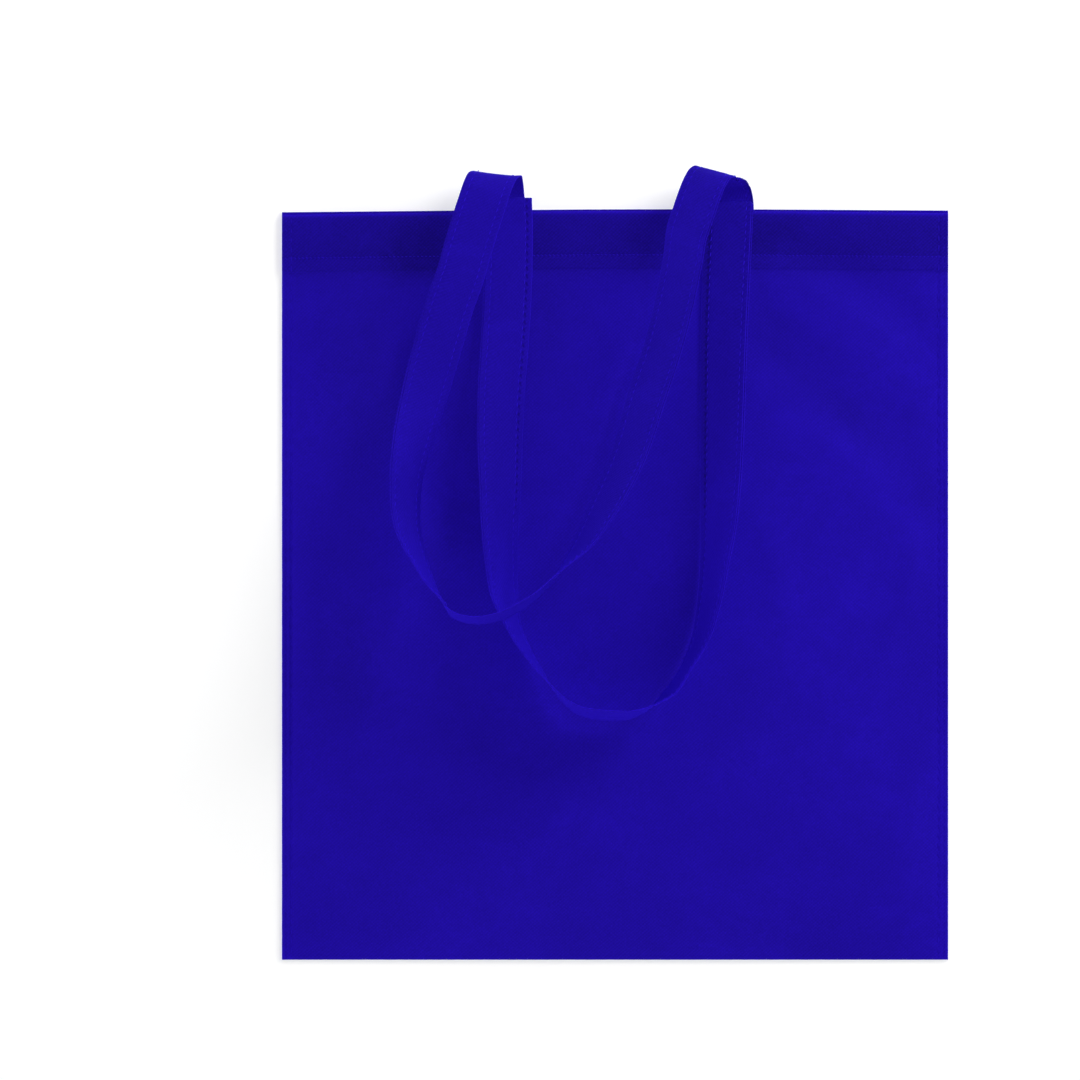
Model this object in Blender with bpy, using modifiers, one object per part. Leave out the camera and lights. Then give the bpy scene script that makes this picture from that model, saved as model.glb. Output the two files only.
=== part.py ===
"""Carrier bag of blue non-woven cloth: one folded body with a hem inside its mouth, and two long handles.

The bag lies on its back. X runs across it, +Y towards the mouth and +Z up from the surface that it lies
on. The origin is the middle of the back panel's underside.
"""

import math

import bmesh
import bpy
import numpy as np

# Driving dimensions, in metres
BAG_WIDTH = 0.360
BAG_HEIGHT = 0.405
CLOTH = 0.0005
HEM_DEPTH = 0.030
SEAM_ALLOWANCE = 0.006
BELLY = 0.012
MOUTH_GAPE = 0.011
FOLD_RISE = 0.070
MOUTH_BLEND = 0.120
BACK_PROUD = 0.0015

STRAP_WIDTH = 0.026
STRAP_THICK = 0.0014
HANDLE_SPACING = 0.122
BACK_HANDLE_DROP = 0.223
FRONT_HANDLE_DROP = 0.275
END_MARGIN = 0.002
CLEARANCE = 0.0003

# How the front panel arches: the higher the arch's power, the flatter its middle, and the lower the
# fold's, the rounder the bottom edge.
ARCH_POWER = 3.0
FOLD_POWER = 0.8

# Fineness of the meshes
PANEL_COLUMNS = 20
PANEL_ROWS = 18
ROW_CROWDING = 1.5
HEM_ROWS = 4
END_STOPS = 3
ROLL_STEPS = 8
STRAP_STEP = 0.007
STRAP_COLUMNS = 2
SHARP_ANGLE = 30

# Worked out from the sizes above
MOUTH_Y = BAG_HEIGHT / 2
FOLD_Y = -BAG_HEIGHT / 2
HEM_Y = MOUTH_Y - HEM_DEPTH
HALF_HOLLOW = BAG_WIDTH / 2 - SEAM_ALLOWANCE
LIFT = CLEARANCE + STRAP_THICK / 2
CUTTER_REACH = 0.010

# The routes follow each handle's inner edge, the one that rests on the bag. Their unit is a small share
# of the handles' spacing, and is one millimetre on a bag of this size.
ROUTE_UNIT = HANDLE_SPACING / 122

# Each stop has its place across the bag, its drop below the mouth, its rise above the front panel in
# strap widths, and the strap's turn and lean in degrees. The turn is where the outer edge points, seen
# from above, and the lean how steeply it rises: at 90 the strap stands on its inner edge.
BACK_HANDLE_ROUTE = (
    (-61.7, 8.3, 0.52, 161, 0),
    (-66.9, 25.3, 0.46, 163, 0),
    (-70.8, 39.1, 0.38, 162, 0),
    (-76.6, 55.2, 0.29, 162, 2),
    (-83.8, 79.7, 0.15, 164, 5),
    (-91.0, 104.0, 0.06, 164, 18),
    (-98.2, 126.0, 0.01, 163, 33),
    (-103.2, 143.4, 0.00, 170, 46),
    (-104.7, 171.6, 0.15, 183, 58),
    (-99.8, 192.6, 0.42, 200, 72),
    (-93.0, 210.1, 0.72, 212, 85),
    (-87.7, 219.2, 0.84, 226, 97),
    (-82.0, 221.8, 0.90, 250, 99),
    (-74.0, 222.9, 0.97, 267, 100),
    (-61.2, 220.6, 1.02, 292, 100),
    (-51.3, 216.0, 1.00, 300, 100),
    (-43.8, 210.8, 0.94, 314, 97),
    (-34.6, 200.7, 0.80, 325, 90),
    (-24.9, 183.4, 0.61, 333, 70),
    (-14.6, 160.2, 0.43, 337, 55),
    (-1.9, 129.4, 0.27, 341, 44),
    (7.0, 97.0, 0.20, 343, 37),
    (15.2, 73.0, 0.19, 344, 38),
    (21.5, 47.8, 0.24, 348, 37),
    (25.8, 24.9, 0.33, 350, 36),
    (28.0, 8.0, 0.43, 348, 32),
)
FRONT_HANDLE_ROUTE = (
    (-44.4, 9.0, 0.00, 180, 2),
    (-44.6, 30.0, 0.00, 180, 4),
    (-46.3, 68.3, 0.00, 179, 8),
    (-48.5, 97.0, 0.00, 178, 17),
    (-49.8, 122.4, 0.00, 178, 25),
    (-50.6, 148.9, 0.00, 178, 31),
    (-52.1, 171.6, 0.00, 179, 40),
    (-52.6, 190.5, 0.00, 181, 48),
    (-52.3, 207.8, 0.00, 185, 56),
    (-50.6, 224.5, 0.00, 200, 72),
    (-45.9, 236.4, 0.00, 206, 78),
    (-39.5, 248.3, 0.00, 210, 84),
    (-33.3, 259.1, 0.00, 218, 91),
    (-27.6, 266.6, 0.00, 224, 96),
    (-20.6, 272.3, 0.00, 243, 101),
    (-12.4, 274.8, 0.00, 259, 103),
    (-1.6, 275.7, 0.00, 270, 103),
    (9.2, 274.6, 0.00, 284, 100),
    (16.8, 270.6, 0.00, 302, 94),
    (26.5, 259.6, 0.00, 320, 79),
    (33.5, 250.0, 0.00, 328, 79),
    (37.8, 240.7, 0.00, 338, 75),
    (41.1, 231.0, 0.00, 346, 70),
    (44.3, 212.1, 0.00, 353, 63),
    (45.9, 190.5, 0.00, 358, 55),
    (46.0, 172.0, 0.00, 359, 44),
    (45.9, 147.0, 0.00, 359, 34),
    (45.9, 118.6, 0.00, 360, 27),
    (46.0, 75.0, 0.00, 360, 18),
    (46.9, 35.0, 0.00, 360, 9),
    (47.9, 9.0, 0.00, 360, 3),
)

# How each end turns over the mouth, left end first, in the same units. The inner edge's place across the
# bag and the strap's turn are given inside the bag, at the crest and where the strap comes out, and its
# lean at the crest and where it comes out, because inside it follows the hem. Straight and bulge are how
# far it runs on past the mouth and how far it then curves out, and rise is where it comes out, in strap
# widths above the front panel.
BACK_HANDLE_TURNS = (
    {
        "places": (-48.4, -50.6, -58.7), "turns": (180, 180, 158), "leans": (0, 0),
        "straight": 1.0, "bulge": 15.2, "rise": 0.54,
    },
    {
        "places": (49.5, 42.4, 31.0), "turns": (360, 338, 340), "leans": (33, 30),
        "straight": 1.0, "bulge": 22.0, "rise": 0.50,
    },
)
FRONT_HANDLE_TURNS = (
    {
        "places": (-44.8, -44.8, -44.8), "turns": (180, 180, 180), "leans": (0, 0),
        "straight": 4.5, "bulge": 1.6, "rise": 0.00,
    },
    {
        "places": (48.3, 48.3, 48.3), "turns": (360, 360, 360), "leans": (0, 0),
        "straight": 2.4, "bulge": 1.6, "rise": 0.00,
    },
)

BLUE_CLOTH = (0.0135, 0.0041, 0.328, 1.0)
BLUE_STRAP = (0.0140, 0.0043, 0.336, 1.0)
CLOTH_ROUGHNESS = 0.85
STRAP_ROUGHNESS = 0.80


def clear_scene():
    for obj in list(bpy.data.objects):
        bpy.data.objects.remove(obj, do_unlink=True)


def make_collection(name, shown=True):
    collection = bpy.data.collections.new(name)
    bpy.context.scene.collection.children.link(collection)
    collection.hide_render = not shown
    return collection


def make_material(name, colour, roughness):
    material = bpy.data.materials.new(name)
    material.use_nodes = True
    shader = material.node_tree.nodes["Principled BSDF"]
    shader.inputs["Base Color"].default_value = colour
    shader.inputs["Roughness"].default_value = roughness
    shader.inputs["Metallic"].default_value = 0.0
    return material


def make_object(name, mesh, collection, material=None):
    obj = bpy.data.objects.new(name, mesh)
    collection.objects.link(obj)
    if material:
        mesh.materials.append(material)
    return obj


# Shape of the bag

def hollow_height(x, y):
    """Height between the panels: an arch from seam to seam that closes at the bottom fold."""
    out = np.clip(np.abs(x) / HALF_HOLLOW, 0.0, 1.0)
    up = np.clip((y - FOLD_Y) / FOLD_RISE, 0.0, 1.0)
    near = np.clip(1.0 - (MOUTH_Y - y) / MOUTH_BLEND, 0.0, 1.0)
    height = BELLY + (MOUTH_GAPE - BELLY) * near * near * (3.0 - 2.0 * near)
    return height * (1.0 - out**ARCH_POWER) * np.sin(up * math.pi / 2) ** FOLD_POWER


def front_face(x, y):
    """Height of the front panel's outer face above the surface that the bag lies on."""
    return 2 * CLOTH + hollow_height(x, np.minimum(y, MOUTH_Y))


def panel_rows(first, last):
    """Places along the bag, closer together where the front panel curves up from the fold."""
    share = np.linspace(0.0, 1.0, PANEL_ROWS + 1)
    return first + (last - first) * share**ROW_CROWDING


def outer_ring(y):
    x = np.linspace(-HALF_HOLLOW, HALF_HOLLOW, PANEL_COLUMNS + 1)
    x = np.concatenate([[-BAG_WIDTH / 2], x, [BAG_WIDTH / 2]])
    top = [(a, y, float(front_face(a, y))) for a in x]
    return top + [(BAG_WIDTH / 2, y, 0.0), (-BAG_WIDTH / 2, y, 0.0)]


def hollow_ring(y, plies):
    """Section of the space inside, where each wall is this many plies thick."""
    shape_y = min(y, MOUTH_Y)
    middle = float(hollow_height(0.0, shape_y))
    lost = 2 * (plies - 1) * CLOTH
    half = HALF_HOLLOW * (1.0 - lost / middle) ** (1.0 / ARCH_POWER)
    floor = plies * CLOTH
    ring = []
    for a in np.linspace(-half, half, PANEL_COLUMNS + 1):
        ring.append((a, y, floor + max(float(hollow_height(a, shape_y)) - lost, 0.0)))
    return ring


def loft(name, rings, collection):
    """A closed body through rings of equally many points, each ring flat and capped at the two ends."""
    bm = bmesh.new()
    loops = [[bm.verts.new(point) for point in ring] for ring in rings]
    for near, far in zip(loops, loops[1:]):
        for i in range(len(near)):
            j = (i + 1) % len(near)
            bm.faces.new((near[i], near[j], far[j], far[i]))
    bm.faces.new(loops[0])
    bm.faces.new(loops[-1])
    bmesh.ops.recalc_face_normals(bm, faces=bm.faces[:])
    mesh = bpy.data.meshes.new(name)
    bm.to_mesh(mesh)
    bm.free()
    return make_object(name, mesh, collection)


def box(name, low, high, collection):
    bm = bmesh.new()
    bmesh.ops.create_cube(bm, size=1.0)
    for vert in bm.verts:
        vert.co = [(a + b) / 2 + (b - a) * c for a, b, c in zip(low, high, vert.co)]
    mesh = bpy.data.meshes.new(name)
    bm.to_mesh(mesh)
    bm.free()
    return make_object(name, mesh, collection)


def cut(obj, cutter):
    cutter.hide_render = True
    cutter.display_type = "WIRE"
    modifier = obj.modifiers.new(cutter.name, "BOOLEAN")
    modifier.operation = "DIFFERENCE"
    modifier.solver = "EXACT"
    modifier.object = cutter


def bag_body(pieces, cutters, material):
    """The sheet folded at the bottom and sewn at both sides, its hem turned inside the mouth."""
    body = loft("bag_body", [outer_ring(y) for y in panel_rows(FOLD_Y, MOUTH_Y)], pieces)
    body.data.materials.append(material)

    start = FOLD_Y + 2 * CLOTH
    rings = [hollow_ring(y, 1) for y in panel_rows(start, HEM_Y)]
    for y in np.linspace(HEM_Y + CLOTH / 2, MOUTH_Y, HEM_ROWS):
        rings.append(hollow_ring(y, 2))
    rings.append(hollow_ring(MOUTH_Y + CUTTER_REACH, 2))
    cut(body, loft("hollow_cutter", rings, cutters))

    # The back panel's edge stands a little proud of the front panel's, so this cut starts above its hem.
    hem_top = 2 * CLOTH
    low = (-HALF_HOLLOW, MOUTH_Y - BACK_PROUD, hem_top + CLEARANCE / 2)
    high = (HALF_HOLLOW, MOUTH_Y + CUTTER_REACH, hem_top + MOUTH_GAPE + CUTTER_REACH)
    cut(body, box("mouth_cutter", low, high, cutters))
    for polygon in body.data.polygons:
        polygon.use_smooth = True
    body.data.set_sharp_from_angle(angle=math.radians(SHARP_ANGLE))
    return body


# Handles

def back_level(x, y, side):
    """A strap's middle layer where it lies on the back panel's hem, and its lean there."""
    return 2 * CLOTH + LIFT, 0.0


def front_level(x, y, side):
    """A strap's middle layer where it lies under the front panel's hem, and its lean there."""
    outer = x + side * STRAP_WIDTH
    near, far = float(hollow_height(x, y)), float(hollow_height(outer, y))
    return near - LIFT, math.degrees(math.atan2(far - near, STRAP_WIDTH))


def sewn_end(turn, side, level):
    """Stops along the end that is sewn inside the hem, from its tip to the mouth."""
    x = ROUTE_UNIT * turn["places"][0]
    stops = []
    for y in np.linspace(HEM_Y + END_MARGIN, MOUTH_Y - END_MARGIN, END_STOPS):
        z, lean = level(x, y, side)
        stops.append((x, y, z, turn["turns"][0], lean))
    return stops


def turn_over(turn, side, level):
    """Stops of the half turn over the mouth, half an ellipse between the sewn end and the front."""
    x_in, x_crest, x_out = (ROUTE_UNIT * place for place in turn["places"])
    turn_in, turn_crest, turn_out = turn["turns"]
    lean_crest, lean_out = turn["leans"]
    z_in, lean_in = level(x_in, MOUTH_Y, side)
    z_out = float(front_face(x_out, MOUTH_Y)) + LIFT + turn["rise"] * STRAP_WIDTH
    stops = []
    for share in np.linspace(0.0, 1.0, ROLL_STEPS + 1):
        angle = math.pi * (share - 0.5)
        before, after = max(1 - 2 * share, 0.0), max(2 * share - 1, 0.0)
        crest = 1 - before - after
        stops.append((
            x_in * before + x_crest * crest + x_out * after,
            MOUTH_Y + ROUTE_UNIT * (turn["straight"] + turn["bulge"] * math.cos(angle)),
            (z_in + z_out) / 2 + (z_out - z_in) / 2 * math.sin(angle),
            turn_in * before + turn_crest * crest + turn_out * after,
            lean_in * before + lean_crest * crest + lean_out * after,
        ))
    return stops


def handle_stops(route, turns, drop, level):
    """All stops of a handle, from the tip of its left end to the tip of its right end."""
    lowest = max(stop[1] for stop in route)
    left, right = turns
    stops = sewn_end(left, -1, level) + turn_over(left, -1, level)
    for place, fall, rise, turn, lean in route:
        x, y = ROUTE_UNIT * place, MOUTH_Y - drop * fall / lowest
        stops.append((x, y, float(front_face(x, y)) + LIFT + rise * STRAP_WIDTH, turn, lean))
    return np.array(stops + (sewn_end(right, 1, level) + turn_over(right, 1, level))[::-1])


def smooth_route(stops):
    """Stops a strap step apart on a smooth curve through the given ones, with the curve's direction."""
    length = np.concatenate([[0.0], np.cumsum(np.linalg.norm(np.diff(stops[:, :3], axis=0), axis=1))])
    slope = np.gradient(stops, length, axis=0)
    rows, ways = [], []
    for i, span in enumerate(np.diff(length)):
        count = max(1, round(span / STRAP_STEP))
        for t in np.arange(count) / count:
            a, b, c, d = stops[i], span * slope[i], stops[i + 1], span * slope[i + 1]
            rows.append(
                (2 * t**3 - 3 * t**2 + 1) * a + (t**3 - 2 * t**2 + t) * b
                + (3 * t**2 - 2 * t**3) * c + (t**3 - t**2) * d
            )
            ways.append(
                (6 * t**2 - 6 * t) * a + (3 * t**2 - 4 * t + 1) * b
                + (6 * t - 6 * t**2) * c + (3 * t**2 - 2 * t) * d
            )
    rows.append(stops[-1])
    ways.append(slope[-1])
    return np.array(rows), np.array(ways)


def handle(name, route, turns, drop, level, pieces, material):
    """A flat strap whose inner edge follows the route, finished to its thickness."""
    rows, ways = smooth_route(handle_stops(route, turns, drop, level))
    along = ways[:, :3] / np.linalg.norm(ways[:, :3], axis=1)[:, None]
    turn, lean = np.radians(rows[:, 3]), np.radians(rows[:, 4])
    over = np.stack([np.cos(lean) * np.cos(turn), np.cos(lean) * np.sin(turn), np.sin(lean)], axis=1)
    over -= (over * along).sum(axis=1)[:, None] * along
    over /= np.linalg.norm(over, axis=1)[:, None]

    bm = bmesh.new()
    bmesh.ops.create_grid(bm, x_segments=len(rows) - 1, y_segments=STRAP_COLUMNS, size=0.5)
    for vert in bm.verts:
        row = round((vert.co.x + 0.5) * (len(rows) - 1))
        vert.co = rows[row, :3] + over[row] * STRAP_WIDTH * (vert.co.y + 0.5)
    mesh = bpy.data.meshes.new(name)
    bm.to_mesh(mesh)
    bm.free()
    strap = make_object(name, mesh, pieces, material)
    for polygon in mesh.polygons:
        polygon.use_smooth = True
    shell = strap.modifiers.new("thickness", "SOLIDIFY")
    shell.thickness = STRAP_THICK
    shell.offset = 0.0
    return strap


def build():
    clear_scene()
    pieces = make_collection("carrier_bag")
    cutters = make_collection("cutters", shown=False)
    bag_body(pieces, cutters, make_material("body_cloth", BLUE_CLOTH, CLOTH_ROUGHNESS))
    handle(
        "front_handle", FRONT_HANDLE_ROUTE, FRONT_HANDLE_TURNS, FRONT_HANDLE_DROP, front_level,
        pieces, make_material("front_strap_cloth", BLUE_STRAP, STRAP_ROUGHNESS),
    )
    handle(
        "back_handle", BACK_HANDLE_ROUTE, BACK_HANDLE_TURNS, BACK_HANDLE_DROP, back_level,
        pieces, make_material("back_strap_cloth", BLUE_STRAP, STRAP_ROUGHNESS),
    )


build()
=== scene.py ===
import math

import bmesh
import bpy
import numpy as np
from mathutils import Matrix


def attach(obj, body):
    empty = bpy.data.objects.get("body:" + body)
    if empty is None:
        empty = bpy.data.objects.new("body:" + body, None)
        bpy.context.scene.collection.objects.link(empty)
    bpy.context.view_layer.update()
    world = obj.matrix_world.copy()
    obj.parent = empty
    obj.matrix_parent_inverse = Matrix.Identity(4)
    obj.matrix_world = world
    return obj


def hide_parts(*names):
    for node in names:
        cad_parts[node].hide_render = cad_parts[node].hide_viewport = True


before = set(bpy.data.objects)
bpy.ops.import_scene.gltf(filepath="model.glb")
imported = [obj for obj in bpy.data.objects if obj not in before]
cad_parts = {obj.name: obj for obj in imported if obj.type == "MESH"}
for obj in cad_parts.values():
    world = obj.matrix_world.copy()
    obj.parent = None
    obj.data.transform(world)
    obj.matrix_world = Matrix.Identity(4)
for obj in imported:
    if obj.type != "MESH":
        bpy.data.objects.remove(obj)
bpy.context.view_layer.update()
print("packed part loaded")

mm = 0.001

view = {
    "above": (-0.04054, 0.02446),   # the point on the table that the middle of the picture shows
    "height": 4.0,
    "seenWidth": 0.58374,           # how much of the table the picture shows, side to side
    "sensor": 36.0,
}


def makeCamera(v):
    camera = bpy.data.cameras.new("camera")
    camera.sensor_width = v["sensor"]
    camera.lens = v["sensor"] * v["height"] / v["seenWidth"]
    holder = bpy.data.objects.new("camera", camera)
    holder.location = (*v["above"], v["height"])
    bpy.context.scene.collection.objects.link(holder)
    bpy.context.scene.camera = holder


makeCamera(view)
bpy.context.scene.view_settings.view_transform = "Standard"

light = {
    "keyTurn": 42.0,        # degrees from +X towards +Y, where the main light stands
    "keyRise": 20.0,        # degrees above the table
    "keyAway": 2.4,         # metres from the middle of the picture, near enough to fade across the bag
    "keySize": 1.15,        # metres across
    "keyPower": 41.0,
    "fillTurn": 222.0,      # a soft fill opposite, which casts no shadow of its own
    "fillRise": 40.0,
    "fillStrength": 1.78,
    "topStrength": 0.48,    # straight down, without a shadow either
    "domeLow": 0.03,        # the room's light from overhead
    "domeRim": 3.8,         # and how much is added at the height of the table
    "domeFall": 4.0,        # how fast that falls off with height
}


def lampAt(name, kind, turn, rise):
    lamp = bpy.data.lights.new(name, kind)
    holder = bpy.data.objects.new(name, lamp)
    holder.rotation_euler = (0.0, math.radians(90.0 - rise), math.radians(turn))
    bpy.context.scene.collection.objects.link(holder)
    return lamp, holder


def makeLight(v):
    key, holder = lampAt("keyLight", "AREA", v["keyTurn"], v["keyRise"])
    key.shape = "DISK"
    key.size = v["keySize"]
    key.energy = v["keyPower"]
    turn, rise = math.radians(v["keyTurn"]), math.radians(v["keyRise"])
    flat = v["keyAway"] * math.cos(rise)
    holder.location = (view["above"][0] + flat * math.cos(turn), view["above"][1] + flat * math.sin(turn),
                       v["keyAway"] * math.sin(rise))
    for name, turn, rise, strength in (("fillLight", v["fillTurn"], v["fillRise"], v["fillStrength"]),
                                       ("topLight", 0.0, 90.0, v["topStrength"])):
        lamp, _ = lampAt(name, "SUN", turn, rise)
        lamp.energy = strength
        lamp.use_shadow = False

    # Room: low + rim * (1 - height)^fall, where height is the sine of the angle above the table.
    world = bpy.data.worlds.new("room")
    bpy.context.scene.world = world
    world.use_nodes = True
    tree = world.node_tree
    tree.nodes.clear()
    coords = tree.nodes.new("ShaderNodeTexCoord")
    split = tree.nodes.new("ShaderNodeSeparateXYZ")
    tree.links.new(coords.outputs["Generated"], split.inputs[0])
    below = mathNode(tree, "SUBTRACT", 1.0, split.outputs["Z"], clamp=True)
    fall = mathNode(tree, "POWER", below, v["domeFall"])
    strength = mathNode(tree, "MULTIPLY_ADD", fall, v["domeRim"], v["domeLow"])
    room, white = (tree.nodes.new("ShaderNodeBackground") for _ in range(2))
    mix = tree.nodes.new("ShaderNodeMixShader")
    out = tree.nodes.new("ShaderNodeOutputWorld")
    for source, target in ((strength, room.inputs["Strength"]), (seenRays(tree), mix.inputs[0]),
                           (room.outputs[0], mix.inputs[1]), (white.outputs[0], mix.inputs[2]),
                           (mix.outputs[0], out.inputs["Surface"])):
        tree.links.new(source, target)
    for background in (room, white):
        background.inputs["Color"].default_value = (1.0, 1.0, 1.0, 1.0)


def mathNode(tree, operation, *values, clamp=False):
    node = tree.nodes.new("ShaderNodeMath")
    node.operation = operation
    node.use_clamp = clamp
    for socket, value in zip(node.inputs, values):
        if isinstance(value, (int, float)):
            socket.default_value = value
        else:
            tree.links.new(value, socket)
    return node.outputs[0]


# 1 for a ray from the camera, also by way of a mirror or glass, and 0 for light on its way to the bag.
def seenRays(tree):
    path = tree.nodes.new("ShaderNodeLightPath")
    seen = mathNode(tree, "MAXIMUM", path.outputs["Is Camera Ray"], path.outputs["Is Glossy Ray"])
    return mathNode(tree, "MAXIMUM", seen, path.outputs["Is Transmission Ray"])


def noiseNode(tree, vector, scale, detail, roughness, distortion=0.0):
    node = tree.nodes.new("ShaderNodeTexNoise")
    node.inputs["Scale"].default_value = scale
    node.inputs["Detail"].default_value = detail
    node.inputs["Roughness"].default_value = roughness
    node.inputs["Distortion"].default_value = distortion
    tree.links.new(vector, node.inputs["Vector"])
    return node.outputs["Fac"]


def mixColour(tree, share, a, b, blend="MIX"):
    node = tree.nodes.new("ShaderNodeMix")
    node.data_type = "RGBA"
    node.blend_type = blend
    for socket, value in ((node.inputs[0], share), (node.inputs[6], a), (node.inputs[7], b)):
        if isinstance(value, bpy.types.NodeSocket):
            tree.links.new(value, socket)
        else:
            socket.default_value = value
    return node.outputs[2]


def groupSockets(group, inputs, outputs):
    for name, kind, value in inputs:
        socket = group.interface.new_socket(name, in_out="INPUT", socket_type=kind)
        if value is not None:
            socket.default_value = value
    for name, kind in outputs:
        group.interface.new_socket(name, in_out="OUTPUT", socket_type=kind)


def mapRange(tree, value, low, high, smooth=True):
    node = tree.nodes.new("ShaderNodeMapRange")
    node.interpolation_type = "SMOOTHSTEP" if smooth else "LINEAR"
    node.inputs["From Min"].default_value = low
    node.inputs["From Max"].default_value = high
    tree.links.new(value, node.inputs["Value"])
    return node.outputs["Result"]


# Spun-bonded cloth on a map in metres: a diamond lattice of pressed dots, broad clouds of fibre, pale wisps
# and fine strands. The lattice is cos(a) * cos(b) + lean * sin(a) * sin(b), where a is 2 pi x / pitch and
# b is 2 pi y / (pitch * stretch): dots half a diagonal apart, which the lean joins along one diagonal. A
# wisp is where a distorted noise comes near its middle value.
weave = {
    "broad": (13.0, 3.0, 0.55),         # scale, detail and roughness of the noise for broad clouds,
    "clouds": (80.0, 7.0, 0.74),        # for small ones,
    "veins": (34.0, 5.0, 0.6, 1.4),     # for wisps, with a distortion,
    "strands": (800.0, 2.0, 0.6),       # and for single strands
    "dotStrands": (1.6, 0.2),   # how much of a dot varies with the strands, and how much doesn't
    "wispWidth": 0.07,          # how near its middle value the veins' noise is within a wisp
    "wispsIn": (0.42, 0.62),    # the broad noise's values between which wisps fade in
    "strandShade": 0.62,
    "holeShade": 0.32,
    "roughness": 0.86,
    "dotGloss": 0.14,           # taken off the roughness in a dot
    "strandRelief": 0.5,        # against a dot's depth of 1
    "holeRelief": 2.0,
}


def makeNonWoven(v):
    group = bpy.data.node_groups.new("nonWoven", "ShaderNodeTree")
    groupSockets(group, (
        ("Map", "NodeSocketVector", None),
        ("Cloth Colour", "NodeSocketColor", (0.011, 0.0017, 0.34, 1.0)),
        ("Dot Pitch", "NodeSocketFloat", 2.12 * mm),
        ("Dot Stretch", "NodeSocketFloat", 0.93),
        ("Dot Lean", "NodeSocketFloat", 0.0),
        ("Dot Shade", "NodeSocketFloat", 0.12),
        ("Cloud Shade", "NodeSocketFloat", 0.1),
        ("Wisp Light", "NodeSocketFloat", 0.05),
        ("Layer Shade", "NodeSocketFloat", 0.2),
        ("Edge Highlight", "NodeSocketFloat", 0.3),
        ("Layers", "NodeSocketFloat", 0.0),
        ("Edges", "NodeSocketFloat", 0.0),
        ("Tone", "NodeSocketFloat", 0.0),
        ("Holes", "NodeSocketFloat", 0.0),
    ), (
        ("Colour", "NodeSocketColor"),
        ("Roughness", "NodeSocketFloat"),
        ("Height", "NodeSocketFloat"),
    ))
    nodes, links = group.nodes, group.links
    given = nodes.new("NodeGroupInput")
    out = nodes.new("NodeGroupOutput")
    split = nodes.new("ShaderNodeSeparateXYZ")
    links.new(given.outputs["Map"], split.inputs[0])
    turns = mathNode(group, "DIVIDE", 2 * math.pi, given.outputs["Dot Pitch"])
    lengthTurns = mathNode(group, "DIVIDE", turns, given.outputs["Dot Stretch"])
    angles = [mathNode(group, "MULTIPLY", split.outputs[axis], rate)
              for axis, rate in (("X", turns), ("Y", lengthTurns))]
    cosines, sines = (mathNode(group, "MULTIPLY", *(mathNode(group, kind, angle) for angle in angles))
                      for kind in ("COSINE", "SINE"))
    lattice = mathNode(group, "MULTIPLY_ADD", sines, given.outputs["Dot Lean"], cosines)
    lattice = mathNode(group, "MULTIPLY_ADD", lattice, 0.5, 0.5)
    broad, clouds, veins, strands = (noiseNode(group, given.outputs["Map"], *v[kind])
                                     for kind in ("broad", "clouds", "veins", "strands"))
    dot = mathNode(group, "MULTIPLY", lattice, mathNode(group, "MULTIPLY_ADD", strands, *v["dotStrands"]))

    cloudy = mathNode(group, "SUBTRACT", mathNode(group, "ADD", broad, clouds), 1.0)
    shade = mathNode(group, "MULTIPLY_ADD", cloudy, given.outputs["Cloud Shade"], 1.0)
    offMiddle = mathNode(group, "ABSOLUTE", mathNode(group, "SUBTRACT", veins, 0.5))
    wisps = mathNode(group, "SUBTRACT", 1.0, mapRange(group, offMiddle, 0.0, v["wispWidth"]))
    wisps = mathNode(group, "MULTIPLY", wisps, mapRange(group, broad, *v["wispsIn"]))
    shade = mathNode(group, "MULTIPLY_ADD", wisps, given.outputs["Wisp Light"], shade)
    # Edges add painted highlights along crisp edges; where they fall below 0 they add painted shadow lines
    # and painted shade.
    shade = mathNode(group, "MULTIPLY_ADD", given.outputs["Edges"], given.outputs["Edge Highlight"], shade)
    # Tone adds painted shade and painted light, with a little uneven cloth.
    shade = mathNode(group, "ADD", shade, given.outputs["Tone"])
    for mask, amount in ((dot, "Dot Shade"), (given.outputs["Layers"], "Layer Shade")):
        shade = mathNode(group, "SUBTRACT", shade, mathNode(group, "MULTIPLY", mask, given.outputs[amount]))
    strandShade = mathNode(group, "MULTIPLY_ADD", strands, v["strandShade"], -v["strandShade"] / 2)
    shade = mathNode(group, "ADD", shade, strandShade)
    # The needle holes darken the colour: painted shade in the holes beside the threads.
    holeShade = mathNode(group, "MULTIPLY_ADD", given.outputs["Holes"], -v["holeShade"], 1.0)
    shade = mathNode(group, "MULTIPLY", shade, holeShade)
    grey = nodes.new("ShaderNodeCombineColor")
    for name in ("Red", "Green", "Blue"):
        links.new(shade, grey.inputs[name])
    colour = mixColour(group, 1.0, given.outputs["Cloth Colour"], grey.outputs[0], "MULTIPLY")
    links.new(colour, out.inputs["Colour"])

    roughness = mathNode(group, "MULTIPLY_ADD", dot, -v["dotGloss"], v["roughness"])
    links.new(roughness, out.inputs["Roughness"])
    relief = mathNode(group, "MULTIPLY_ADD", dot, -1.0, 1.0)
    relief = mathNode(group, "MULTIPLY_ADD", strands, v["strandRelief"], relief)
    relief = mathNode(group, "MULTIPLY_ADD", given.outputs["Holes"], -v["holeRelief"], relief)
    links.new(relief, out.inputs["Height"])
    return group


# Needle holes along a row of stitches: a spot wherever the place along the row, divided by the pitch, comes
# near a half, within the holes' half width of the row.
holeShape = {
    "slant": 0.9,               # how far a hole leans along the row as it crosses it
    "alongEdge": (0.16, 0.34),  # where a hole fades along the row, in pitches from its middle,
    "acrossEdge": (0.4, 1.0),   # and across it, in half widths
}


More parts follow.
